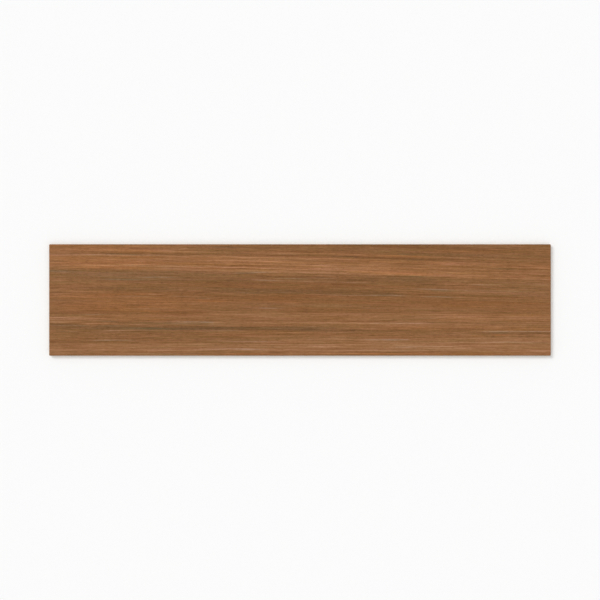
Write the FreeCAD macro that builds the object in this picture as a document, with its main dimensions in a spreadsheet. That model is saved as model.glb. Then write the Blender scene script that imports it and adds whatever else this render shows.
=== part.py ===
"""Wood-look porcelain plank tile, lying on its back with the printed face up.

One pressed and fired piece, in millimetres. The origin is at the middle of the back, on the
plane of the rib undersides. +X runs along the plank, +Y across it and +Z up through the face.
"""

import FreeCAD, Part
import os
import Sketcher

# Driving dimensions, each with what it measures on the tile.
SIZES = (
    ("plank_length", 900.0, "along the grain, at the widest part of the edge"),
    ("plank_width", 200.0, "across the grain, at the widest part of the edge"),
    ("plank_thickness", 9.5, "from the rib undersides to the face"),
    ("corner_radius", 1.6, "of the four corners, seen from above"),
    ("arris_radius", 0.8, "of the eased edge round the face"),
    ("edge_setback", 0.9, "how far the pressed edge draws in at the back"),
    ("edge_taper_height", 3.2, "of the drawn-in part of the edge"),
    ("back_border", 8.0, "narrowest flat land between the back's edge and the keys"),
    ("rib_width", 3.0, "of the raised ribs between keys"),
    ("key_length", 20.0, "of one key recess along the plank, at its mouth"),
    ("key_width", 20.0, "of one key recess across the plank, at its mouth"),
    ("key_depth", 0.8, "from the rib undersides to a recess's floor"),
    ("key_draft", 0.35, "how far each recess wall leans in at its floor"),
)
SHEET = "Sizes"
NODE = "plank_tile"
TOUCH = 1e-4  # two heights closer than this are the same height


def make_sheet(doc):
    """The spreadsheet that holds every driving dimension under its own alias."""
    sheet = doc.addObject("Spreadsheet::Sheet", SHEET)
    for row, (alias, value, meaning) in enumerate(SIZES, start=1):
        sheet.set(f"A{row}", str(value))
        sheet.setAlias(f"A{row}", alias)
        sheet.set(f"B{row}", meaning)
    doc.recompute()
    return sheet


def bind(feature, **expressions):
    """Ties each named property of a feature to an expression over the sheet's aliases."""
    aliases = [alias for alias, _, _ in SIZES]
    for path, expression in expressions.items():
        words = expression.split()
        bound = " ".join(f"{SHEET}.{word}" if word in aliases else word for word in words)
        feature.setExpression(path, bound)


def origin_feature(body, role):
    """One of the body's own origin planes or axes."""
    return next(item for item in body.Origin.OriginFeatures if item.Role == role)


def edges_where(shape, belongs):
    """Names of the edges that pass a test."""
    return [f"Edge{i}" for i, edge in enumerate(shape.Edges, start=1) if belongs(edge)]


def lies_at(edge, height):
    """Whether an edge lies flat at one height."""
    box = edge.BoundBox
    return abs(box.ZMin - height) < TOUCH and abs(box.ZMax - height) < TOUCH


def stands(edge):
    """Whether an edge runs straight up."""
    box = edge.BoundBox
    return box.ZLength > TOUCH and box.XLength < TOUCH and box.YLength < TOUCH


def draw_outline(body):
    """The tile's outline from above: a rectangle centred on the origin."""
    sketch = body.newObject("Sketcher::SketchObject", "outline")
    sketch.AttachmentSupport = [(origin_feature(body, "XY_Plane"), "")]
    sketch.MapMode = "FlatFace"
    corners = [FreeCAD.Vector(x, y, 0) for x, y in ((-1, -1), (1, -1), (1, 1), (-1, 1))]
    for start, end in zip(corners, corners[1:] + corners[:1]):
        sketch.addGeometry(Part.LineSegment(start, end))
    front, right, back, left = range(4)
    for line, following in ((front, right), (right, back), (back, left), (left, front)):
        sketch.addConstraint(Sketcher.Constraint("Coincident", line, 2, following, 1))
    for line in (front, back):
        sketch.addConstraint(Sketcher.Constraint("Horizontal", line))
    for line in (right, left):
        sketch.addConstraint(Sketcher.Constraint("Vertical", line))
    sketch.addConstraint(Sketcher.Constraint("Symmetric", front, 1, back, 1, -1, 1))
    for line, name, size in ((front, "along", "plank_length"), (right, "across", "plank_width")):
        axis = "DistanceX" if line == front else "DistanceY"
        place = sketch.addConstraint(Sketcher.Constraint(axis, line, 1, line, 2, 2.0))
        sketch.renameConstraint(place, name)
        bind(sketch, **{f"Constraints.{name}": size})
    return sketch


def press_slab(doc, body):
    """The plain slab that the die presses, with its four upright corners rounded."""
    slab = body.newObject("PartDesign::Pad", "pressed_slab")
    slab.Profile = draw_outline(body)
    bind(slab, Length="plank_thickness")
    doc.recompute()
    corners = body.newObject("PartDesign::Fillet", "rounded_corners")
    corners.Base = (slab, edges_where(slab.Shape, stands))
    bind(corners, Radius="corner_radius")
    doc.recompute()
    return corners


def ease_edges(doc, body, slab, thickness):
    """The soft arris round the face and the draw-in of the edge towards the back."""
    arris = body.newObject("PartDesign::Fillet", "eased_arris")
    arris.Base = (slab, edges_where(slab.Shape, lambda edge: lies_at(edge, thickness)))
    bind(arris, Radius="arris_radius")
    doc.recompute()
    taper = body.newObject("PartDesign::Chamfer", "drawn_in_edge")
    taper.Base = (arris, edges_where(arris.Shape, lambda edge: lies_at(edge, 0.0)))
    taper.ChamferType = "Two distances"
    taper.FlipDirection = True  # the first distance lies on the back, the second up the edge
    bind(taper, Size="edge_setback", Size2="edge_taper_height")
    doc.recompute()
    return taper


def press_keys(doc, body):
    """The keyed back: drafted recesses in rows and columns, with raised ribs left between."""
    key = body.newObject("PartDesign::SubtractiveWedge", "key_recess")
    pitch = {"x": "( key_length + rib_width )", "y": "( key_width + rib_width )"}
    room = "( {} - 2 * edge_setback - 2 * back_border + rib_width )"
    count = {
        "x": f"floor( {room.format('plank_length')} / {pitch['x']} )",
        "y": f"floor( {room.format('plank_width')} / {pitch['y']} )",
    }
    # The recess opens at the rib undersides and narrows to its floor; its own Y is its depth.
    bind(key, Ymin="0", Ymax="key_depth")
    for axis, size in (("X", "key_length"), ("Z", "key_width")):
        bind(key, **{f"{axis}min": f"- {size} / 2", f"{axis}max": f"{size} / 2"})
        bind(key, **{f"{axis}2min": f"key_draft - {size} / 2", f"{axis}2max": f"{size} / 2 - key_draft"})
    key.Placement.Rotation = FreeCAD.Rotation(FreeCAD.Vector(1, 0, 0), 90)
    for axis in ("x", "y"):
        bind(key, **{f".Placement.Base.{axis}": f"- ( {count[axis]} - 1 ) * {pitch[axis]} / 2"})
    doc.recompute()
    keys = body.newObject("PartDesign::LinearPattern", "key_rows")
    keys.Originals = [key]
    keys.Direction = (origin_feature(body, "X_Axis"), [""])
    keys.Direction2 = (origin_feature(body, "Y_Axis"), [""])
    for axis, number in (("x", ""), ("y", "2")):
        bind(keys, **{f"Occurrences{number}": count[axis]})
        bind(keys, **{f"Length{number}": f"( {count[axis]} - 1 ) * {pitch[axis]}"})
    body.Tip = keys
    doc.recompute()
    return key, keys


def make_tile(doc, sheet):
    """The whole tile as one body."""
    body = doc.addObject("PartDesign::Body", NODE)
    slab = press_slab(doc, body)
    plain = ease_edges(doc, body, slab, sheet.plank_thickness)
    key, keys = press_keys(doc, body)
    pressed_out = keys.Occurrences * keys.Occurrences2 * key.AddSubShape.Volume
    if abs(plain.Shape.Volume - pressed_out - body.Shape.Volume) > TOUCH * plain.Shape.Volume:
        raise RuntimeError("the back doesn't have every key recess")
    return body


def check(doc, body, sheet):
    """Stops if anything failed to build, or the solid isn't the size that the sheet gives."""
    failed = [item.Label for item in doc.Objects if {"Invalid", "Error"} & set(item.State)]
    if failed:
        raise RuntimeError(f"these failed to build: {failed}")
    shape = body.Shape
    if shape.isNull() or not shape.isValid() or len(shape.Solids) != 1:
        raise RuntimeError(f"{body.Label} is not one valid solid")
    box = shape.optimalBoundingBox()
    wanted = (sheet.plank_length, sheet.plank_width, sheet.plank_thickness)
    if any(abs(a - b) > TOUCH for a, b in zip((box.XLength, box.YLength, box.ZLength), wanted)):
        raise RuntimeError(f"{body.Label} measures {box}, not {wanted}")


def main():
    doc = FreeCAD.newDocument("plank")
    sheet = make_sheet(doc)
    tile = make_tile(doc, sheet)
    check(doc, tile, sheet)
    os.makedirs("parts", exist_ok=True)
    tile.Shape.exportStep(f"parts/{tile.Label}.step")
    print(f"{tile.Label}: {len(tile.Shape.Faces)} faces, {tile.Shape.Volume / 1000:.1f} cm3")


main()
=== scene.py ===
"""Looks of the wood-look porcelain plank tile: its sunk grain, its printed face and its fired back.

Lengths are in metres, in the frame's own axes: +X runs along the plank, +Y across it and +Z up
through the face. The printed figure is drawn in millimetres, as its own section says.
"""

import math

import bmesh
import bpy
import numpy as np
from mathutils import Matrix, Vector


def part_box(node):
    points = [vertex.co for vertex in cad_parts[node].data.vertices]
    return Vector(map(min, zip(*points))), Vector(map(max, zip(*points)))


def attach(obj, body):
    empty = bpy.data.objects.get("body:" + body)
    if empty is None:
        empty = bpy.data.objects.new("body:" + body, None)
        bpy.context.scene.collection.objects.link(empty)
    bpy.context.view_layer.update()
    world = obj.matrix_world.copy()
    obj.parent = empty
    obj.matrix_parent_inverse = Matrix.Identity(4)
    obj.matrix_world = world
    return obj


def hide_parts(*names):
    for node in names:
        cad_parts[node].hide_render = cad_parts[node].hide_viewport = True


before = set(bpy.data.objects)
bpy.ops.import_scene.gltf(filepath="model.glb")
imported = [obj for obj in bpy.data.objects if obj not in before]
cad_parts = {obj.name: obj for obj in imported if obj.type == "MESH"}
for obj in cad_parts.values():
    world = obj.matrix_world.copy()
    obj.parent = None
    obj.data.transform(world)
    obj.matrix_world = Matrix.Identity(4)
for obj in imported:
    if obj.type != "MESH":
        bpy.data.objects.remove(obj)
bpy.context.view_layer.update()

MM = 0.001
TOUCH = 0.01 * MM  # two places closer than this are the same place
ALIGNED = 0.999  # cosine past which an edge or a face's normal counts as following an axis

# The plank as it is pressed. Its length, width and thickness come from the frame.
LOW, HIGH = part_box("plank_tile")
LENGTH, WIDTH, THICKNESS = HIGH - LOW
CORNER_RADIUS = 1.6 * MM
CORNER_STEPS = 6
ARRIS_RADIUS = 0.8 * MM
ARRIS_STEPS = 4
EDGE_SETBACK = 0.9 * MM
EDGE_TAPER_HEIGHT = 3.2 * MM
BACK_BORDER = 8.0 * MM
RIB_WIDTH = 3.0 * MM
KEY_SIZE = 20.0 * MM
KEY_DEPTH = 0.8 * MM
KEY_DRAFT = 0.35 * MM
SMOOTH_ANGLE = 40.0  # degrees: faces that meet at less than this shade as one

# The relief of the face: a grid that is fine across the grain and coarse along it.
FACE_MARGIN = 1.8 * MM  # from the plank's edge to the first sunk grain
FACE_CUTS_ALONG = (15, 16)  # the grid's steps along the plank, as two rounds of cuts
FACE_CUTS_ACROSS = (18, 20)  # and across it
RELIEF_FADE = 3.0 * MM  # from that first grain to where it is sunk in full
PORE_DEPTH = 0.14 * MM
STRAND_DEPTH = 0.10 * MM
STRAND_SUNK, STRAND_FLUSH = 0.25, 0.7  # strengths of the strands that lie deepest, and not at all

# The printed figure, in millimetres from the plank's middle. The grain sinks towards the right end
# of the plank, most in its upper half, and a place across is where the grain there meets the left end.
GRAIN_SINK = 18.0  # at the right end
GRAIN_SINK_POWER = 1.5  # how late along the plank it sets in
SINK_FROM, SINK_TO = -40.0, 10.0  # below the first the grain sinks least, above the second in full
SINK_LEAST = 0.12  # share of the sink that is left there
WAVER = 2.5  # how far the grain wanders from its line
WANDER = (190.0, 30.0, 91.0)  # length, width and seed of its wandering
BASE_SHADE = 104.3  # lightness of the plain wood, out of 255
SHADE_DARKEST, SHADE_LIGHTEST = 70.0, 140.0
INK = (  # the wood's colour at each lightness, as sRGB out of 255, before the sheen pales it a little
    (70.0, (93, 56, 14)),
    (83.0, (112, 71, 31)),
    (95.0, (127, 84, 43)),
    (107.0, (141, 95, 54)),
    (119.0, (155, 107, 67)),
    (140.0, (177, 128, 92)),
)
COOLER = (-0.0128, 0.0038, 0.029)  # what one step of coolness does to red, green and blue
RUDDIER = (0.010, -0.0058, 0.030)  # and one step of ruddiness

FIGURE = "figure"  # the name of the mesh attribute that holds the lightness and coolness
BAND_FRAY = (90.0, 4.0)  # how far the fibres fray a band's outline, along and across
LINE_FRAY = (40.0, 1.2)  # and a line's

BAND_SOCKETS = ("Start", "End", "Fade", "Place", "Lean", "Width", "Upper", "Lower", "Lighter", "Cooler")
LINE_SOCKETS = ("Start", "End", "Place", "Lean", "Width", "Lighter", "Cooler")

# Each band: start and end along the plank, fade at its ends, place across, how far it leans by its
# end, width, softness of its upper and lower edge, lightness and coolness that it adds.
BANDS = (
    # The upper edge, pale on the left and dark on the right
    (-600, -150, 150, 93, 0, 11, 4, 4, 6, -3),
    (-60, 500, 140, 100, 0, 17, 4, 6, -3, 0.5),
    (20, 340, 100, 107.5, 0, 5, 4, 3, -7, 1),
    (150, 400, 90, 93, 0, 4, 2.5, 2, -5, 1),
    # The light band
    (-480, 500, 30, 70, -1.5, 24, 2, 1.5, 9.5, -2),
    (-480, -220, 120, 69, 0, 22, 4, 3, 1.5, -3),
    (-150, 120, 110, 69, 0, 22, 5, 4, 3.5, 0),
    (270, 500, 90, 68, 0, 22, 5, 4, -4, 0),
    (50, 270, 70, 59.5, -1, 3, 2, 2, 7, -3.5),
    # The olive band under it
    (-480, -20, 100, 46.5, 0, 15, 1.2, 5, -1, 2.5),
    (-60, 290, 70, 46.5, 0, 14, 1.5, 5, -5, 2),
    (-400, -60, 90, 41, -1, 4, 3, 3, 0, 2),
    (-330, -30, 80, 37, -4, 3, 2, 2, -5.5, 0.5),
    (20, 240, 70, 37, 0, 4, 3, 3, -3, -2),
    # The smoky streak in the middle and its surroundings
    (-480, -330, 80, 30, 0, 8, 4, 4, 3, 0),
    (-240, 150, 90, 32, 0, 9, 4, 4, -7, -2),
    (150, 400, 80, 34.5, 0, 2, 2, 2, -5, 0),
    (240, 500, 90, 29, 0, 14, 5, 4, 3, 1),
    (-420, -150, 80, 21.5, 0, 4, 3, 3, -6, 1.5),
    (-210, 210, 90, 21.5, 0, 6, 3, 3, -10, 2.5),
    # The ground below it, warm on the left and dull on the right
    (-400, -100, 90, 14, 0, 5, 3, 3, -7, -2.5),
    (-520, -360, 40, 8, 0, 4, 2.5, 2.5, 6, 0),
    (-480, -130, 130, -4, 0, 24, 8, 8, 2, -4),
    (-210, 20, 60, 7, 0, 6, 3, 3, -6, -3),
    (-120, 360, 110, 9, 0, 12, 5, 6, -4.5, -2),
    (-60, 230, 80, -13.5, 0, 8, 4, 3, -5.5, -2),
    (200, 500, 90, 0, 0, 14, 5, 5, -1.5, -3),
    # The pinkish band
    (-520, -120, 80, -22, 0, 5, 2.5, 2, -7, -2.5),
    (-200, 500, 60, -26, 0, 7, 3, 7, 8.5, 0),
    (-480, -370, 30, -32.5, 0, 4, 2.5, 2.5, 14, 1),
    (-400, -150, 60, -30, 0, 8, 4, 4, 4.5, -1.5),
    (190, 500, 90, -29, 0, 12, 4, 5, 3.5, -1),
    (90, 290, 60, -43, 0, 3, 2, 2, 3, 0.5),
    (-330, 280, 110, -39.5, -1.5, 1.2, 2, 2, 16, 1),
    # The dark streak
    (-480, -330, 50, -50, 0, 4, 2, 2, -6, 3),
    (-390, 70, 60, -50, -1, 4.5, 2, 2, -10.5, 5),
    (60, 520, 90, -46.5, 0, 9, 3, 3, 5.5, -1),
    # The ground below it, dull on the left and pale on the right
    (-480, -120, 120, -66, 0, 16, 4, 4, -2, 0.5),
    (-30, 500, 130, -71, 0, 6, 4, 4, 6, 1.5),
    (-70, 160, 60, -72, 0, 5, 2.5, 2.5, 6, 0.5),
    (200, 520, 90, -71, 0, 8, 3, 3, 7, 0),
    # The pale band at the lower edge
    (-480, 500, 30, -84.5, 0, 11, 3, 2, 8.5, 0.7),
    (-130, 520, 90, -81, 0, 4, 3, 3, 6, 0.5),
    (-520, 520, 40, -91, 0, 5, 2.5, 2.5, 5.5, 0),
    (-40, 520, 60, -89.5, 0, 2, 2, 2, 3, 0.5),
    (-480, 500, 30, -97, 0, 4, 2, 2, 3, 0),
)

# Each line: start and end along the plank, place across, how far it leans by its end, width,
# lightness and coolness that it adds. A line fades over this share of its length at either end.
LINE_FADE = 0.35
LINES = (
    # Along the upper edge
    (210, 370, 100.5, -0.5, 2.6, 8, -3),
    (-150, -10, 98.8, 0, 2.6, -8, 2),
    (-560, 420, 89.8, 0.3, 2.2, 15, -2),
    (200, 480, 89.5, -3, 2.2, 6, 1),
    (-480, 160, 85.5, 0.3, 2.6, -9, -2),
    (30, 350, 86.5, -3.5, 3.4, -13, 0.5),
    (-180, -100, 98.2, 0, 2, -6, 6),
    (-20, 50, 92.6, 0, 1.8, -9, 0),
    (170, 210, 93, 0, 2, -6, 7),
    (130, 250, 89.3, 0, 2, 7, -7),
    (40, 120, 86, 0, 2, -4, 6),
    (180, 230, 84.2, 0, 2, -6, 6),
    (290, 370, 82.3, 0, 2.2, -10, 1),
    # In the light band and along its lower edge
    (-520, -270, 82, -1, 2.2, 8, 4),
    (-230, 60, 82, -0.5, 2.4, 6, 0),
    (-420, -290, 78.2, 0, 2, -9, 2),
    (-70, 130, 77.5, -1, 3, -9, 2),
    (-340, -140, 77, 0, 2.2, -5, -1),
    (-240, 20, 74.3, -0.3, 2.4, 11, 0.5),
    (20, 270, 76, -1.5, 2.2, -8, 0),
    (230, 340, 72.5, 0, 2.2, -9, -1),
    (310, 500, 71.5, 0, 2.4, -10, 1),
    (-500, 130, 69, -4, 2, -8, -1),
    (-480, 60, 62.9, -0.8, 2.2, 11, 1.5),
    (-260, -50, 60.3, 0, 2, -8, -1),
    (-300, -80, 57, -0.6, 2.4, 7, 1),
    (-330, 720, 55.6, -1.2, 2.4, 15, -1),
    (-360, -280, 83.4, 0, 1.8, -9, 7),
    (-320, -230, 82, 0, 1.8, 7, 6),
    (-260, -150, 79.6, 0, 1.8, 9, 1),
    (-345, -245, 65, -0.3, 2, 13, 0),
    (15, 70, 70, 0, 3, 8, 0),
    (150, 225, 75.6, 0, 1.6, -12, 0),
    (255, 345, 73.4, 0, 1.6, -11, 0),
    (335, 395, 71, 0, 1.8, -9, 6),
    (220, 285, 79, 0, 2.2, 8, -1),
    (180, 245, 56.6, 0, 1.6, -11, -1),
    (-140, -80, 60.5, 0, 1.6, -9, 0),
    (-85, -20, 57.2, 0, 1.6, 6, -2),
    (330, 395, 54.8, 0, 1.8, 10, -1),
    (200, 400, 54.6, 0.4, 1.6, 4, -1),
    # In the olive band
    (-520, -370, 51.5, 0, 3, 5, 6),
    (-350, -150, 46.2, 0, 2.2, -9, -1),
    (-90, 150, 51, -0.5, 2.8, 12, 0),
    (-130, 100, 46, 3, 2.6, -9, 0),
    (-310, -190, 42.5, 0, 2, 6, 3),
    (-120, 180, 40.2, -0.5, 2.2, 15, 2),
    (130, 260, 50.5, -6, 4, -5, 1.5),
    (280, 480, 40, 6, 2.4, 6, 3),
    (310, 460, 38.5, -0.5, 2.4, -10, 2),
    (-470, -410, 52.6, 0, 1.8, -7, 9),
    (-455, -400, 50, 0, 1.6, 11, 2),
    (-95, -45, 54.6, 0, 1.6, 15, 6),
    (-125, -70, 53, 0, 2, 3, 8),
    (-290, -210, 43.2, 0, 1.6, 6, 5),
    (-380, -250, 38.3, 0, 2, 2, 7),
    (-50, 30, 43.8, 0.4, 1.6, 14, 7),
    (15, 70, 46.2, 0, 1.6, 13, 5),
    (75, 130, 44.6, 0, 1.8, -10, 0),
    (-90, -30, 40, 0, 2, 6, 6),
    (180, 230, 53.4, 0, 1.8, -8, 9),
    (295, 375, 41.4, 2.5, 1.8, 15, 3),
    # In the middle
    (140, 480, 30.5, 1, 2.6, 9, 5),
    (-330, -150, 28.3, 0, 2.4, -7, -2),
    (-140, -60, 30.5, 0, 1.8, 5, -1),
    (-70, 110, 21.5, 0, 2.4, -4, 1),
    (110, 500, 21.5, -1, 3, -11, -1.5),
    (10, 210, 16.5, 1, 2, 6, 6),
    (195, 300, 17.5, 0, 2, 7, 4),
    (-600, -210, 20, -7.5, 2, 13, -3),
    (-500, -330, 2.2, 0, 2.2, -7, -3),
    (-480, -350, 6, 0, 2, 5, -0.5),
    (-250, -140, 9, 0, 2.2, 4, 5),
    (-260, 30, 0.8, -0.4, 1.8, 9, -3),
    (-200, -80, -4.3, 0, 2.2, 11, -2),
    (60, 300, -9.8, 0, 2.2, 9, 3),
    (-500, -390, -13.5, 0, 2.6, 9, 0),
    (-320, -220, -14.8, 0, 2.2, 4, 4),
    (-110, -10, -11.5, 0.5, 2.4, 10, 5),
    (40, 105, 27.6, 0, 1.6, 10, 6),
    (195, 280, 31.4, 0, 1.8, 6, 6),
    (225, 275, 29, 0, 1.8, -5, 8),
    (140, 195, 25.6, 0, 1.6, -10, 0),
    (130, 200, 21, 0, 1.8, -8, 7),
    (120, 205, 18.6, 0, 1.8, 10, 9),
    (210, 285, 18.5, 0, 1.8, 8, 7),
    (-20, 150, 16.6, 0, 1.6, 15, 1),
    (-115, -60, 16.6, 0, 1.8, 7, 7),
    (-310, -225, 12, 0, 1.6, 9, -1),
    (-310, -225, 10, 0, 1.6, -10, 0),
    (-350, -240, 8, 0, 2.2, 2, 6),
    (-195, -150, 5.6, 0, 1.8, 6, 8),
    (-190, -120, 0.9, 0, 1.8, 8, -6),
    (-80, 20, 1.6, 0, 1.8, 5, -3),
    (360, 410, 9, 0, 1.8, -7, 1),
    (-75, -20, -11, 0, 1.8, 6, 7),
    (95, 165, -9.6, 0, 1.6, 11, 7),
    (-245, -165, -15, 0, 1.8, 10, 1),
    (-40, 60, -18.4, 0, 1.6, -11, 0),
    (330, 390, -18, 0, 2, -9, 0),
    # Round the pinkish band
    (-420, -340, -25.8, 0, 2, 6, 2),
    (-520, -370, -40, 0, 2.4, 16, 0.5),
    (-400, -290, -36.2, 0, 2.2, 13, 1),
    (-300, -110, -34, 0, 2.2, -8, -4),
    (-410, -290, -42, 0, 2, 14, 0),
    (-360, -120, -41, -0.5, 2, -10, 6),
    (-230, -150, -39, 0, 1.8, 6, 7),
    (-350, -140, -44, 0, 2, 8, 3),
    (-400, -340, -25.6, 0, 1.6, 7, 7),
    (-425, -350, -32.4, 0, 1.8, 11, 0),
    (-405, -340, -42.6, 0, 1.6, 11, 0),
    (-260, -190, -23, 0, 1.8, -8, -2),
    (-5, 40, -29, 0, 1.6, -9, 0),
    (-45, 10, -31.8, 0, 1.6, -8, 0),
    (140, 180, -36, 0, 1.6, -9, 0),
    # Round the dark streak
    (-520, -365, -43.8, 0, 2.2, -16, 6),
    (-460, -360, -46.4, 0, 2, 6, 11),
    (-260, -80, -46.8, 0, 2.2, -8, 0),
    (-310, -50, -52.5, 4, 2.2, -9, 3.5),
    (-60, 260, -53.6, -0.5, 3.4, -13, 1),
    (180, 300, -54.5, 0, 2, -3, 0),
    (245, 360, -50.5, 0, 2, -7, 2),
    (280, 560, -54.3, 0, 1.8, 24, 7),
    (280, 560, -56.9, 0, 2.2, -14, 2),
    (-390, -215, -54.6, 0.3, 2.4, 22, 4),
    (-340, -220, -50.4, 0, 1.8, 4, 6),
    (-180, -80, -53.9, 0, 1.8, 10, 4),
    (-365, -320, -39, 0, 1.8, -8, 9),
    (-300, -200, -39.6, 0, 1.8, -6, 2),
    (-185, -150, -39.4, 0, 1.8, 6, 9),
    (-375, -300, -46.5, 0, 1.8, 2, 10),
    (-300, -225, -51, 0, 1.8, -5, 4),
    (260, 335, -50.5, 0, 1.8, -10, 1),
    (340, 385, -57, 0, 1.8, -6, 8),
    (340, 385, -61, 0, 1.8, 2, -8),
    (-440, -390, -57, 0, 2, -8, 3),
    # Below the dark streak
    (-120, -5, -64.2, 0, 2.2, 13, 0),
    (-220, -80, -67.2, 0, 3, -8, 0),
    (-390, -280, -72.3, 0, 2, 10, 8),
    (-315, -255, -75, 0, 2, 5, 4),
    (-520, -310, -75.2, 0, 2.4, -10, 0),
    (-300, -230, -60.8, 0, 2, -5, 0),
    (-150, -95, -60.5, 0, 2, -6, 0),
    (-30, 40, -60.5, 0, 2, -6, 0),
    (30, 120, -66, 0, 2.4, 7, 1),
    (100, 210, -69.8, 0, 2, 12, 6),
    (250, 330, -62.2, 0, 2.2, 10, 0),
    (-190, -10, -73.8, 0, 2.6, 14, 4),
    (90, 300, -76, 0, 3, 11, 0),
    (290, 500, -74.2, 0, 2.4, 9, 0),
    (260, 320, -70.5, 0, 1.8, -6, 0),
    (-45, 20, -58, 0, 1.6, 10, -1),
    (295, 335, -62.6, 0, 1.6, 7, -3),
    (-340, -265, -70, 0, 2, -5, -3),
    (145, 205, -69.5, 0, 1.4, 11, 6),
    (-25, 35, -73.4, 0, 1.6, 12, -1),
    (275, 310, -70.5, 0, 1.6, -9, 0),
    # In the pale band at the lower edge
    (-200, -30, -87.8, 0, 2.6, 12, 4),
    (-450, -320, -86.5, 0, 2, -8, -0.5),
    (130, 340, -82.4, 0, 2.4, 7, 1),
    (-480, 520, -92.6, 0, 2, -5, -0.5),
    (80, 210, -92.5, 0, 2, -5, -1),
    (-60, 480, -95.2, 0, 2.6, 2, -7),
    (-330, -110, -96, 0, 2.2, 2, 4),
    (-445, -365, -83, 0, 1.6, -5, 0),
    (-130, -60, -87.5, 0, 1.8, 3, 4),
    (215, 300, -81.6, 0, 1.6, 9, 0),
    (165, 215, -83, 0, 1.8, 8, 3),
    (345, 380, -84.5, 0, 1.6, -10, 0),
    (-190, -130, -91.6, 0, 1.6, -12, 0),
    (-75, -15, -92.8, 0, 1.8, -12, -1),
    (110, 260, -92.2, 0, 1.6, -14, -1),
    (-150, -10, -96, 0, 1.8, 3, -7),
    (70, 125, -93, 0, 1.6, -10, 0),
)

# The grain that runs through the whole print: length and width of its marks, seed and swing in lightness.
STRANDS = (200.0, 2.1, 21.0, 32.0)
FIBRES = (80.0, 1.5, 31.0, 42.0)
FINE_FIBRES = (28.0, 1.4, 43.0, 54.0)
FLECKS = (7.0, 2.0, 83.0, 30.0)
CLOUDS = (260.0, 9.0, 57.0, 12.0)
MOTTLE = (12.0, 12.0, 61.0, 8.0)
BLUSH = (120.0, 5.0, 73.0, 14.0)  # its swing is in ruddiness
SCRATCHES = (100.0, 1.4, 97.0, 11.0)  # pale and cool
HAIRS = (9.0, 0.4, 37.0, -24.0)  # the finest pores, short and dark
MARK_DETAIL, MARK_ROUGHNESS = 3.0, 0.6  # of the noise that draws them
SCRATCHES_SHOW = (0.12, 0.18)  # swings of the noise between which a scratch starts to show
HAIRS_SHOW = (0.11, 0.15)
CLOUDS_COOL, SCRATCHES_COOL = 14.0, 6.0
FIGURE_COOL = 1.15  # how much the coolness of the figure counts
FIGURE_BREAK = 1.6  # how much the strands and fibres break up the figure
PORES_SHADE = -8.0  # what a pore adds to the lightness

# The pores: length and width of their marks, seed and detail, and the strengths between which they open.
SHORT_PORES, SHORT_PORES_OPEN = (16.0, 1.3, 3.1, 1.0), (0.62, 0.74)
LONG_PORES, LONG_PORES_OPEN = (55.0, 2.0, 7.7, 2.0), (0.58, 0.70)
PORE_PATCHES, PORE_PATCHES_OPEN = (160.0, 22.0, 12.3, 1.0), (0.38, 0.62)  # where short pores gather

# The surface of the print. It ends raggedly on the arris, between two shares of the arris's drop.
PRINT_GONE, PRINT_WHOLE, PRINT_RAGGED = 0.95, 0.6, 0.8
PRINT_ROUGHNESS = 0.55
FIBRES_ROUGHNESS, PORES_ROUGHNESS = 0.3, 0.12  # what the fine fibres and the pores add to it
PRINT_TEXTURE = 0.16 * MM
HAIRS_TEXTURE = -0.5  # beside the fine fibres
PRINT_SPECULAR = 0.25

# The fired body of the edges and the back
BODY_TAN = (199, 181, 157)
BODY_DARK = (179, 158, 132)
KILN_WASH = (218, 210, 197)
SPECKS = (0.6, 1.7, 3.0, 0.65)  # size in millimetres, seed, detail and roughness of the noise
PATCHES = (9.0, 5.3, 4.0, 0.6)
PATCHES_SHARE = 0.6  # of the patches in the grit, beside the specks
GRIT_RANGE = (0.3, 0.7)
WASH_HEIGHT = (0.25, 0.05)  # millimetres above the rib undersides where the wash is gone, and whole
WASH_SPECKS = 0.3  # share of the specks in the wash, beside the patches
WASH_RANGE = (0.42, 0.88)
WASH_COVER = (0.2, 0.85)
SPECKS_RANGE = (0.2, 0.8)
BODY_ROUGHNESS = (0.72, 0.9)
BODY_TEXTURE = 0.06 * MM
BODY_SPECULAR = 0.3

# The map for baking, as shares of its width and height
MAP_ACROSS = (0.01, 0.99)
MAP_FACE = (0.42, 0.99)
MAP_LONG_EDGES = ((0.385, 0.41), (0.35, 0.375))
MAP_ENDS = (0.315, 0.34)
MAP_ENDS_ACROSS = ((0.01, 0.24), (0.27, 0.50))
MAP_BACK = (0.01, 0.305)

# The camera looks straight down, at the photograph's scale: 111.5 pixels for the plank's width.
PIXELS_ACROSS = 600
PLANK_PIXELS = 111.5
VIEW_WIDTH = PIXELS_ACROSS / PLANK_PIXELS * WIDTH
LENS = 100.0
SENSOR = 36.0

# The stage
FLOOR_SIZE = 24.0
FLOOR_COLOUR = (0.97, 0.97, 0.97, 1.0)
FLOOR_ROUGHNESS = 0.9
SKY_STRENGTH = 0.6
LAMP_HEIGHT = 2.0
LAMPS = (  # name, strength on the floor beside the sky's, azimuth, elevation and spread in degrees
    ("key", 0.3, 140, 50, 25),
    ("fill", 0.1, -60, 60, 60),
)


# Selecting and shaping in edit mode

def choose(plank, kind, test):
    """Selects, in edit mode, only the vertices, edges or faces that pass a test."""
    bpy.ops.mesh.select_mode(type=kind)
    bpy.ops.mesh.select_all(action="DESELECT")
    mesh = bmesh.from_edit_mesh(plank.data)
    items = {"VERT": mesh.verts, "EDGE": mesh.edges, "FACE": mesh.faces}[kind]
    for item in items:
        if test(item):
            item.select_set(True)
    mesh.select_flush_mode()
    bmesh.update_edit_mesh(plank.data)


def middle(edge):
    return (edge.verts[0].co + edge.verts[1].co) / 2


def runs(edge, axis):
    """Whether an edge runs along one axis."""
    span = edge.verts[1].co - edge.verts[0].co
    return abs(span[axis]) > ALIGNED * span.length


def facing(direction):
    """A test for faces that look up, for 1, or down, for -1."""
    return lambda face: face.normal.z * direction > ALIGNED


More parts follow.
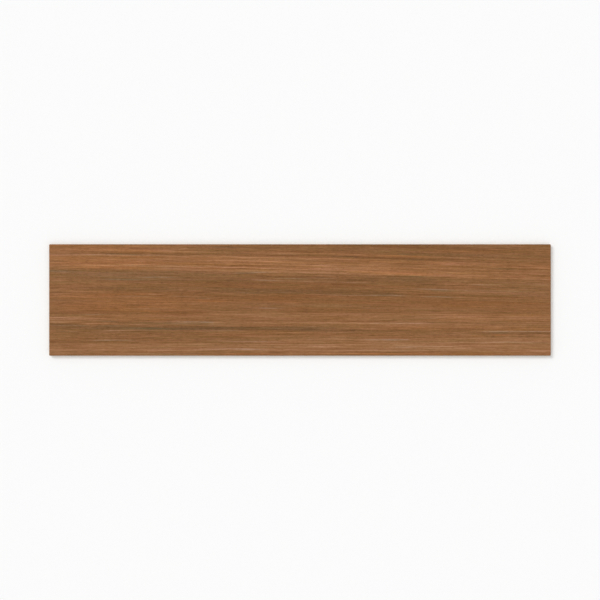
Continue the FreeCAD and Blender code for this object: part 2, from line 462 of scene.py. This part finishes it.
def score_field(plank, test, half_length, half_width):
    """Cuts the lines of a centred rectangle into the faces that pass a test."""
    for axis, reach in ((0, half_length), (1, half_width)):
        for side in (-1, 1):
            choose(plank, "FACE", test)
            normal = [0.0, 0.0, 0.0]
            normal[axis] = 1.0
            bpy.ops.mesh.bisect(plane_co=[side * reach * n for n in normal], plane_no=normal)


def divide_field(plank, belongs, along, across):
    """Divides a scored field into a grid, first along the plank and then across it."""
    for axis, parts in ((0, along), (1, across)):
        for cuts in parts:
            choose(plank, "EDGE", lambda edge: runs(edge, axis) and belongs(middle(edge), axis))
            bpy.ops.mesh.subdivide(number_cuts=cuts - 1)


# The pressed plank

def press_slab():
    """A block with rounded corners and a soft arris, drawn in towards the back."""
    bpy.ops.object.select_all(action="DESELECT")
    height = THICKNESS - EDGE_TAPER_HEIGHT
    centre = (0.0, 0.0, EDGE_TAPER_HEIGHT + height / 2)
    bpy.ops.mesh.primitive_cube_add(size=1.0, calc_uvs=False, location=centre)
    plank = bpy.context.object
    plank.name = "porcelain_plank"
    plank.scale = (LENGTH, WIDTH, height)
    bpy.ops.object.transform_apply(location=True, rotation=True, scale=True)
    bpy.ops.object.mode_set(mode="EDIT")
    choose(plank, "EDGE", lambda edge: runs(edge, 2))
    bpy.ops.mesh.bevel(offset=CORNER_RADIUS, segments=CORNER_STEPS, affect="EDGES")
    choose(plank, "FACE", facing(1))
    bpy.ops.mesh.region_to_loop()
    bpy.ops.mesh.bevel(offset=ARRIS_RADIUS, segments=ARRIS_STEPS, affect="EDGES")
    choose(plank, "FACE", facing(-1))
    bpy.ops.mesh.inset(thickness=EDGE_SETBACK, depth=EDGE_TAPER_HEIGHT)
    return plank


def press_keys(plank):
    """The keyed back: drafted recesses in rows and columns, with raised ribs between them."""
    pitch = KEY_SIZE + RIB_WIDTH
    rooms = [side - 2 * EDGE_SETBACK - 2 * BACK_BORDER + RIB_WIDTH for side in (LENGTH, WIDTH)]
    columns, rows = (int((room + TOUCH) / pitch) for room in rooms)
    half_length = columns * pitch / 2
    half_width = rows * pitch / 2
    faces_down = facing(-1)

    def on_back(place, axis):
        inside = abs(place.x) < half_length + TOUCH and abs(place.y) < half_width + TOUCH
        return inside and abs(place.z) < TOUCH

    score_field(plank, faces_down, half_length, half_width)
    divide_field(plank, on_back, [columns], [rows])

    def in_field(face):
        place = face.calc_center_median()
        return faces_down(face) and abs(place.x) < half_length and abs(place.y) < half_width

    choose(plank, "FACE", in_field)
    bpy.ops.mesh.inset(thickness=RIB_WIDTH / 2, use_individual=True)
    bpy.ops.mesh.inset(thickness=KEY_DRAFT, depth=-KEY_DEPTH, use_individual=True)


def grid_face(plank):
    """The grid of the face and its arris, which carries the figure and the sunk grain."""
    reach = (LENGTH / 2 - FACE_MARGIN, WIDTH / 2 - FACE_MARGIN)
    arris_foot = THICKNESS - ARRIS_RADIUS

    def on_face(place, axis):
        return place.z > arris_foot - TOUCH and abs(place[axis]) < reach[axis]

    score_field(plank, lambda face: face.calc_center_median().z > arris_foot, *reach)
    divide_field(plank, on_face, FACE_CUTS_ALONG, FACE_CUTS_ACROSS)


# Node building

GROUP_NODE = {"ShaderNodeTree": "ShaderNodeGroup", "GeometryNodeTree": "GeometryNodeGroup"}
SOCKETS = {
    "value": "NodeSocketFloat",
    "place": "NodeSocketVector",
    "colour": "NodeSocketColor",
    "shape": "NodeSocketGeometry",
}


def feed(tree, socket, value):
    """Links an output to a socket, or sets the socket to a plain value."""
    if isinstance(value, bpy.types.NodeSocket):
        tree.links.new(value, socket)
    else:
        socket.default_value = value


def new_group(kind, name, inputs, outputs):
    """A node group with named sockets, and the nodes that hold its inputs and outputs."""
    tree = bpy.data.node_groups.new(name, kind)
    for side, sockets in (("INPUT", inputs), ("OUTPUT", outputs)):
        for socket, sort in sockets.items():
            tree.interface.new_socket(name=socket, in_out=side, socket_type=SOCKETS[sort])
    given = tree.nodes.new("NodeGroupInput")
    result = tree.nodes.new("NodeGroupOutput")
    return tree, given.outputs, result.inputs


def use_group(tree, group, **values):
    """Places a group in a tree, with its inputs linked or set, and returns its outputs."""
    made = tree.nodes.new(GROUP_NODE[tree.bl_idname])
    made.node_tree = group
    for name, value in values.items():
        feed(tree, made.inputs[name], value)
    return made.outputs


def calc(tree, operation, *values):
    made = tree.nodes.new("ShaderNodeMath")
    made.operation = operation
    for socket, value in zip(made.inputs, values):
        feed(tree, socket, value)
    return made.outputs[0]


def ease(tree, value, start, end, first=0.0, last=1.0):
    """Goes smoothly from one value to another while the input goes from start to end."""
    made = tree.nodes.new("ShaderNodeMapRange")
    made.interpolation_type = "SMOOTHSTEP"
    names = ("Value", "From Min", "From Max", "To Min", "To Max")
    for name, given in zip(names, (value, start, end, first, last)):
        feed(tree, made.inputs[name], given)
    return made.outputs["Result"]


def axes(tree, place):
    made = tree.nodes.new("ShaderNodeSeparateXYZ")
    feed(tree, made.inputs[0], place)
    return made.outputs


def point(tree, x, y, z):
    made = tree.nodes.new("ShaderNodeCombineXYZ")
    for socket, value in zip(made.inputs, (x, y, z)):
        feed(tree, socket, value)
    return made.outputs[0]


def vector(tree, operation, *values):
    made = tree.nodes.new("ShaderNodeVectorMath")
    made.operation = operation
    for socket, value in zip(made.inputs, values):
        feed(tree, socket, value)
    return made.outputs["Vector"]


def noise(tree, place, seed, detail=2.0, roughness=0.5):
    """Smooth noise from 0 to 1. The seed moves it to another part of the pattern."""
    made = tree.nodes.new("ShaderNodeTexNoise")
    feed(tree, made.inputs["Vector"], vector(tree, "ADD", place, (0.0, 0.0, seed)))
    made.inputs["Scale"].default_value = 1.0
    made.inputs["Detail"].default_value = detail
    made.inputs["Roughness"].default_value = roughness
    return made.outputs[0]


def swing(tree, value):
    """How far noise swings from its middle."""
    return calc(tree, "SUBTRACT", value, 0.5)


def grain_noise(tree, along, across, length, width, seed, detail=2.0, roughness=0.5):
    """Noise drawn out along the grain, with the length and width of its marks in millimetres."""
    place = point(tree, calc(tree, "DIVIDE", along, length), calc(tree, "DIVIDE", across, width), 0.0)
    return noise(tree, place, seed, detail, roughness)


def linear(colour):
    """An sRGB colour out of 255 as Blender's linear colour."""
    parts = [c / 255 for c in colour]
    return [p / 12.92 if p <= 0.04045 else ((p + 0.055) / 1.055) ** 2.4 for p in parts] + [1.0]


def mix_colour(tree, factor, first, second):
    made = tree.nodes.new("ShaderNodeMix")
    made.data_type = "RGBA"
    sockets = [s for s in made.inputs if s.type == "RGBA"]
    feed(tree, made.inputs["Factor"], factor)
    feed(tree, sockets[0], first)
    feed(tree, sockets[1], second)
    return next(s for s in made.outputs if s.type == "RGBA")


# Effects that the relief and the materials share

def flow_group(kind):
    """Where a point lies in the grain: along the plank and across it, in millimetres."""
    tree, given, result = new_group(
        kind, "grain_flow", {"Place": "place"}, {"Along": "value", "Across": "value"}
    )
    x, y, _ = axes(tree, vector(tree, "DIVIDE", given["Place"], (MM, MM, MM)))
    half = LENGTH / MM / 2
    share = calc(tree, "MAXIMUM", calc(tree, "DIVIDE", calc(tree, "ADD", x, half), 2 * half), 0.0)
    sink = calc(tree, "MULTIPLY", calc(tree, "POWER", share, GRAIN_SINK_POWER), GRAIN_SINK)
    here = ease(tree, y, SINK_FROM, SINK_TO, SINK_LEAST, 1.0)
    wander = swing(tree, grain_noise(tree, x, y, *WANDER))
    sunk = calc(tree, "MULTIPLY_ADD", sink, here, y)
    feed(tree, result["Along"], x)
    feed(tree, result["Across"], calc(tree, "MULTIPLY_ADD", wander, WAVER, sunk))
    return tree


def grain_group(kind):
    """The pores of the grain and its long strands, each from 0 to 1."""
    tree, given, result = new_group(
        kind, "wood_grain", {"Along": "value", "Across": "value"}, {"Pores": "value", "Strands": "value"}
    )
    along, across = given["Along"], given["Across"]
    short = ease(tree, grain_noise(tree, along, across, *SHORT_PORES), *SHORT_PORES_OPEN)
    long = ease(tree, grain_noise(tree, along, across, *LONG_PORES), *LONG_PORES_OPEN)
    where = ease(tree, grain_noise(tree, along, across, *PORE_PATCHES), *PORE_PATCHES_OPEN)
    feed(tree, result["Pores"], calc(tree, "MAXIMUM", calc(tree, "MULTIPLY", short, where), long))
    feed(tree, result["Strands"], grain_noise(tree, along, across, *STRANDS[:3]))
    return tree


# The figure and the sunk grain

def mark_group(name, own_inputs, shape):
    """A group that adds one mark of the figure to the lightness and coolness of the print.

    The shape gives how much of the mark shows across the grain, and how much towards its ends.
    """
    shared = ("Along", "Across", "Shade", "Cool", "Start", "End", "Place", "Lean", "Width")
    inputs = {socket: "value" for socket in (*shared, *own_inputs, "Lighter", "Cooler")}
    tree, given, result = new_group("GeometryNodeTree", name, inputs, {"Shade": "value", "Cool": "value"})
    length = calc(tree, "SUBTRACT", given["End"], given["Start"])
    share = calc(tree, "DIVIDE", calc(tree, "SUBTRACT", given["Along"], given["Start"]), length)
    line = calc(tree, "MULTIPLY_ADD", given["Lean"], share, given["Place"])
    off = calc(tree, "SUBTRACT", given["Across"], line)
    mask = calc(tree, "MULTIPLY", *shape(tree, given, share, off))
    feed(tree, result["Shade"], calc(tree, "MULTIPLY_ADD", mask, given["Lighter"], given["Shade"]))
    feed(tree, result["Cool"], calc(tree, "MULTIPLY_ADD", mask, given["Cooler"], given["Cool"]))
    return tree


def band_shape(tree, given, share, off):
    """A broad band, with an upper and a lower edge of its own softness."""
    half = calc(tree, "DIVIDE", given["Width"], 2.0)
    below = calc(tree, "MULTIPLY", off, -1.0)
    upper = ease(tree, off, calc(tree, "ADD", half, given["Upper"]), half)
    lower = ease(tree, below, calc(tree, "ADD", half, given["Lower"]), half)
    full_from = calc(tree, "ADD", given["Start"], given["Fade"])
    full_to = calc(tree, "SUBTRACT", given["End"], given["Fade"])
    begin = ease(tree, given["Along"], given["Start"], full_from)
    end = ease(tree, given["Along"], given["End"], full_to)
    return calc(tree, "MULTIPLY", upper, lower), calc(tree, "MULTIPLY", begin, end)


def line_shape(tree, given, share, off):
    """A thin line, soft on both sides and fading out at its ends."""
    cross = ease(tree, calc(tree, "ABSOLUTE", off), given["Width"], 0.0)
    from_middle = calc(tree, "ABSOLUTE", calc(tree, "SUBTRACT", share, 0.5))
    return cross, ease(tree, from_middle, 0.5, 0.5 - LINE_FADE)


def figure(tree, along, across):
    """The lightness and coolness that the bands and lines add to the plain wood, with frayed edges."""
    fibres = swing(tree, grain_noise(tree, along, across, *FIBRES[:3]))
    shade, cool = 0.0, 0.0
    band = mark_group("figure_band", ("Fade", "Upper", "Lower"), band_shape)
    line = mark_group("figure_line", (), line_shape)
    kinds = ((band, BAND_SOCKETS, BANDS, BAND_FRAY), (line, LINE_SOCKETS, LINES, LINE_FRAY))
    for group, sockets, marks, fray in kinds:
        frayed = {
            "Along": calc(tree, "MULTIPLY_ADD", fibres, fray[0], along),
            "Across": calc(tree, "MULTIPLY_ADD", fibres, fray[1], across),
        }
        for mark in marks:
            look = use_group(tree, group, **frayed, Shade=shade, Cool=cool, **dict(zip(sockets, mark)))
            shade, cool = look["Shade"], look["Cool"]
    return shade, cool


def print_and_sink(plank):
    """Prints the figure on the face and sinks the grain into it, deepest in its pores."""
    tree, given, result = new_group("GeometryNodeTree", "face_grain", {"Plank": "shape"}, {"Plank": "shape"})
    place = tree.nodes.new("GeometryNodeInputPosition").outputs[0]
    flow = use_group(tree, flow_group("GeometryNodeTree"), Place=place)
    along, across = flow["Along"], flow["Across"]
    grain = use_group(tree, grain_group("GeometryNodeTree"), Along=along, Across=across)
    x, y, z = axes(tree, place)
    printed = tree.nodes.new("GeometryNodeStoreNamedAttribute")
    printed.data_type = "FLOAT_VECTOR"
    printed.domain = "POINT"
    printed.inputs["Name"].default_value = FIGURE
    feed(tree, printed.inputs["Geometry"], given["Plank"])
    feed(tree, printed.inputs["Value"], point(tree, *figure(tree, along, across), 0.0))
    room = calc(
        tree, "MINIMUM",
        calc(tree, "SUBTRACT", LENGTH / 2 - FACE_MARGIN, calc(tree, "ABSOLUTE", x)),
        calc(tree, "SUBTRACT", WIDTH / 2 - FACE_MARGIN, calc(tree, "ABSOLUTE", y)),
    )
    inside = ease(tree, room, 0.0, RELIEF_FADE)
    pores = calc(tree, "MULTIPLY", grain["Pores"], PORE_DEPTH)
    strands = ease(tree, grain["Strands"], STRAND_SUNK, STRAND_FLUSH, STRAND_DEPTH, 0.0)
    depth = calc(tree, "MULTIPLY", calc(tree, "ADD", pores, strands), inside)
    sunk = tree.nodes.new("GeometryNodeSetPosition")
    feed(tree, sunk.inputs["Geometry"], printed.outputs["Geometry"])
    feed(tree, sunk.inputs["Selection"], calc(tree, "GREATER_THAN", z, THICKNESS - TOUCH))
    feed(tree, sunk.inputs["Offset"], point(tree, 0.0, 0.0, calc(tree, "MULTIPLY", depth, -1.0)))
    feed(tree, result["Plank"], sunk.outputs["Geometry"])
    modifier = plank.modifiers.new("face_grain", "NODES")
    modifier.node_group = tree
    bpy.ops.object.modifier_apply(modifier=modifier.name)


def smooth_faces(plank):
    """Smooth shading over the arris and the relief, with a crease where the edge starts to draw in."""
    bpy.ops.object.shade_smooth_by_angle(angle=math.radians(SMOOTH_ANGLE))
    bpy.ops.object.mode_set(mode="EDIT")

    def in_crease(edge):
        return all(abs(v.co.z - EDGE_TAPER_HEIGHT) < TOUCH for v in edge.verts)

    choose(plank, "EDGE", in_crease)
    bpy.ops.mesh.mark_sharp()
    bpy.ops.object.mode_set(mode="OBJECT")


# The materials

def body_group():
    """The fired body: tan, finely speckled, with pale kiln wash on the undersides of the ribs."""
    tree, given, result = new_group(
        "ShaderNodeTree", "fired_body", {"Place": "place"},
        {"Colour": "colour", "Roughness": "value", "Height": "value"},
    )
    place = vector(tree, "DIVIDE", given["Place"], (MM, MM, MM))

    def grit_noise(size, *kind):
        return noise(tree, vector(tree, "DIVIDE", place, (size, size, size)), *kind)

    specks = grit_noise(*SPECKS)
    patches = grit_noise(*PATCHES)
    grit = calc(tree, "MULTIPLY_ADD", swing(tree, patches), PATCHES_SHARE, specks)
    tan = mix_colour(tree, ease(tree, grit, *GRIT_RANGE), linear(BODY_DARK), linear(BODY_TAN))
    low = ease(tree, axes(tree, place)[2], *WASH_HEIGHT)
    dust = calc(tree, "MULTIPLY_ADD", specks, WASH_SPECKS, patches)
    wash = calc(tree, "MULTIPLY", low, ease(tree, dust, *WASH_RANGE, *WASH_COVER))
    feed(tree, result["Colour"], mix_colour(tree, wash, tan, linear(KILN_WASH)))
    feed(tree, result["Roughness"], ease(tree, specks, *SPECKS_RANGE, *BODY_ROUGHNESS))
    feed(tree, result["Height"], specks)
    return tree


def new_material(name):
    """A material with its Principled shader, ready for what changes over the surface."""
    material = bpy.data.materials.new(name)
    material.use_nodes = True
    shader = material.node_tree.nodes["Principled BSDF"]
    return material, material.node_tree, shader


def object_place(tree):
    return tree.nodes.new("ShaderNodeTexCoord").outputs["Object"]


def bump(tree, height, distance):
    made = tree.nodes.new("ShaderNodeBump")
    made.inputs["Strength"].default_value = 1.0
    made.inputs["Distance"].default_value = distance
    feed(tree, made.inputs["Height"], height)
    return made.outputs["Normal"]


def fired_body(body):
    """The bare porcelain of the edges and the back."""
    material, tree, shader = new_material("fired_porcelain")
    look = use_group(tree, body, Place=object_place(tree))
    feed(tree, shader.inputs["Base Color"], look["Colour"])
    feed(tree, shader.inputs["Roughness"], look["Roughness"])
    feed(tree, shader.inputs["Normal"], bump(tree, look["Height"], BODY_TEXTURE))
    shader.inputs["Specular IOR Level"].default_value = BODY_SPECULAR
    return material


def ink_colour(tree, shade, cool, ruddy):
    """The colour of the print for its lightness, coolness and ruddiness."""
    ramp = tree.nodes.new("ShaderNodeValToRGB")
    span = SHADE_LIGHTEST - SHADE_DARKEST
    stops = ramp.color_ramp.elements
    while len(stops) < len(INK):
        stops.new(0.5)
    for stop, (lightness, colour) in zip(stops, INK):
        stop.position = (lightness - SHADE_DARKEST) / span
        stop.color = linear(colour)
    feed(tree, ramp.inputs["Fac"], calc(tree, "DIVIDE", calc(tree, "SUBTRACT", shade, SHADE_DARKEST), span))
    tint = (1.0, 1.0, 1.0)
    for amount, change in ((cool, COOLER), (ruddy, RUDDIER)):
        tint = vector(tree, "MULTIPLY_ADD", point(tree, amount, amount, amount), change, tint)
    return vector(tree, "MULTIPLY", ramp.outputs["Color"], tint)


def printed_wood(body):
    """The matte wood print of the face, which thins out over the arris."""
    material, tree, shader = new_material("printed_wood")
    place = object_place(tree)
    flow = use_group(tree, flow_group("ShaderNodeTree"), Place=place)
    along, across = flow["Along"], flow["Across"]
    grain = use_group(tree, grain_group("ShaderNodeTree"), Along=along, Across=across)

    def marks(length, width, seed, _):
        return swing(tree, grain_noise(tree, along, across, length, width, seed, MARK_DETAIL, MARK_ROUGHNESS))

    strands = swing(tree, grain["Strands"])
    fibres, fine, flecks, clouds, mottle, blush, scratch, hair = (
        marks(*kind) for kind in (FIBRES, FINE_FIBRES, FLECKS, CLOUDS, MOTTLE, BLUSH, SCRATCHES, HAIRS)
    )
    scratches = ease(tree, scratch, *SCRATCHES_SHOW)
    hairs = ease(tree, hair, *HAIRS_SHOW)
    figure_node = tree.nodes.new("ShaderNodeAttribute")
    figure_node.attribute_name = FIGURE
    shade, cool, _ = axes(tree, figure_node.outputs["Vector"])
    strength = calc(tree, "MULTIPLY_ADD", strands, FIGURE_BREAK, 1.0)
    strength = calc(tree, "MULTIPLY_ADD", fibres, FIGURE_BREAK, strength)
    shade = calc(tree, "MULTIPLY_ADD", shade, strength, BASE_SHADE)
    cool = calc(tree, "MULTIPLY", cool, calc(tree, "MULTIPLY", strength, FIGURE_COOL))
    grains = (
        (strands, STRANDS), (fibres, FIBRES), (fine, FINE_FIBRES), (flecks, FLECKS), (clouds, CLOUDS),
        (mottle, MOTTLE), (scratches, SCRATCHES), (hairs, HAIRS),
    )
    for part, kind in grains:
        shade = calc(tree, "MULTIPLY_ADD", part, kind[-1], shade)
    shade = calc(tree, "MULTIPLY_ADD", grain["Pores"], PORES_SHADE, shade)
    cool = calc(tree, "MULTIPLY_ADD", clouds, CLOUDS_COOL, cool)
    cool = calc(tree, "MULTIPLY_ADD", scratches, SCRATCHES_COOL, cool)
    ruddy = calc(tree, "MULTIPLY", blush, BLUSH[-1])
    bare = use_group(tree, body, Place=place)
    height = axes(tree, place)[2]
    ragged = calc(tree, "MULTIPLY_ADD", mottle, PRINT_RAGGED * ARRIS_RADIUS, height)
    ends = [THICKNESS - drop * ARRIS_RADIUS for drop in (PRINT_GONE, PRINT_WHOLE)]
    covered = ease(tree, ragged, *ends)
    ink = ink_colour(tree, shade, cool, ruddy)
    feed(tree, shader.inputs["Base Color"], mix_colour(tree, covered, bare["Colour"], ink))
    matte = calc(tree, "MULTIPLY_ADD", fine, FIBRES_ROUGHNESS, PRINT_ROUGHNESS)
    matte = calc(tree, "MULTIPLY_ADD", grain["Pores"], PORES_ROUGHNESS, matte)
    feed(tree, shader.inputs["Roughness"], matte)
    texture = calc(tree, "MULTIPLY_ADD", hairs, HAIRS_TEXTURE, fine)
    feed(tree, shader.inputs["Normal"], bump(tree, texture, PRINT_TEXTURE))
    shader.inputs["Specular IOR Level"].default_value = PRINT_SPECULAR
    return material


def dress(plank):
    """Gives the face and its arris the print, and everything else the bare body."""
    body = body_group()
    plank.data.materials.append(fired_body(body))
    plank.data.materials.append(printed_wood(body))
    for face in plank.data.polygons:
        face.material_index = int(face.center.z > THICKNESS - ARRIS_RADIUS)


# The map for baking

def read(items, name, kind, width):
    """One value or vector of every vertex, corner or face, as rows."""
    values = np.empty(len(items) * width, kind)
    items.foreach_get(name, values)
    return values.reshape(-1, width)


def stretch(values, low, high, start, end):
    return start + (end - start) * (values - low) / (high - low)


def lay_out(plank):
    """Lays every face out flat: the printed face on top, then the four edges, then the back."""
    mesh = plank.data
    place = read(mesh.vertices, "co", np.float32, 3)[read(mesh.loops, "vertex_index", np.int32, 1)[:, 0]]
    sides = read(mesh.polygons, "loop_total", np.int32, 1)[:, 0]
    normal = np.repeat(read(mesh.polygons, "normal", np.float32, 3), sides, axis=0)
    centre = np.repeat(read(mesh.polygons, "center", np.float32, 3), sides, axis=0)
    half = np.array((LENGTH, WIDTH)) / 2
    flat, height = place[:, :2], place[:, 2]
    # The arris opens out round the face by as much as it drops.
    out = flat - np.clip(flat, CORNER_RADIUS - half, half - CORNER_RADIUS)
    away = out / np.maximum(np.linalg.norm(out, axis=1), TOUCH)[:, None]
    spread = flat + away * (THICKNESS - height)[:, None]
    full = half + ARRIS_RADIUS
    u = stretch(flat[:, 0], -half[0], half[0], *MAP_ACROSS)
    v = stretch(height, 0.0, THICKNESS, *MAP_LONG_EDGES[0])
    v = np.where(normal[:, 1] > 0, stretch(height, 0.0, THICKNESS, *MAP_LONG_EDGES[1]), v)
    at_end = np.abs(normal[:, 0]) > np.abs(normal[:, 1])
    for side, reach in zip((-1, 1), MAP_ENDS_ACROSS):
        here = at_end & (normal[:, 0] * side > 0)
        u = np.where(here, stretch(flat[:, 1], -half[1], half[1], *reach), u)
        v = np.where(here, stretch(height, 0.0, THICKNESS, *MAP_ENDS), v)
    on_back = centre[:, 2] < KEY_DEPTH + TOUCH
    u = np.where(on_back, stretch(flat[:, 0], -half[0], half[0], *MAP_ACROSS), u)
    v = np.where(on_back, stretch(flat[:, 1], -half[1], half[1], *MAP_BACK), v)
    printed = centre[:, 2] > THICKNESS - ARRIS_RADIUS
    u = np.where(printed, stretch(spread[:, 0], -full[0], full[0], *MAP_ACROSS), u)
    v = np.where(printed, stretch(spread[:, 1], -full[1], full[1], *MAP_FACE), v)
    layer = mesh.uv_layers.new(name="OFBake")
    layer.uv.foreach_set("vector", np.stack((u, v), axis=1).astype(np.float32).ravel())


# The stage

def set_stage():
    """A pale floor, soft light from above and a camera that looks straight down."""
    scene = bpy.context.scene
    scene.view_settings.view_transform = "Standard"
    bpy.ops.mesh.primitive_plane_add(size=FLOOR_SIZE, location=(0.0, 0.0, 0.0))
    floor = bpy.context.object
    floor.name = "floor"
    material, _, shader = new_material("pale_floor")
    shader.inputs["Base Color"].default_value = FLOOR_COLOUR
    shader.inputs["Roughness"].default_value = FLOOR_ROUGHNESS
    shader.inputs["Specular IOR Level"].default_value = 0.0
    floor.data.materials.append(material)
    world = bpy.data.worlds.new("studio")
    world.use_nodes = True
    sky = world.node_tree.nodes["Background"]
    sky.inputs["Color"].default_value = (1.0, 1.0, 1.0, 1.0)
    sky.inputs["Strength"].default_value = SKY_STRENGTH
    scene.world = world
    for name, strength, azimuth, elevation, spread in LAMPS:
        bpy.ops.object.light_add(type="SUN", location=(0.0, 0.0, LAMP_HEIGHT))
        lamp = bpy.context.object
        lamp.name = name
        lamp.data.energy = strength * math.pi / math.sin(math.radians(elevation))
        lamp.data.angle = math.radians(spread)
        lamp.rotation_euler = (math.radians(90 - elevation), 0.0, math.radians(azimuth + 90))
    bpy.ops.object.camera_add(location=(0.0, 0.0, VIEW_WIDTH * LENS / SENSOR + THICKNESS))
    camera = bpy.context.object
    camera.data.lens = LENS
    camera.data.sensor_width = SENSOR
    scene.camera = camera


plank = press_slab()
press_keys(plank)
grid_face(plank)
bpy.ops.object.mode_set(mode="OBJECT")
print_and_sink(plank)
smooth_faces(plank)
dress(plank)
lay_out(plank)
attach(plank, "root")
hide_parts("plank_tile")
set_stage()
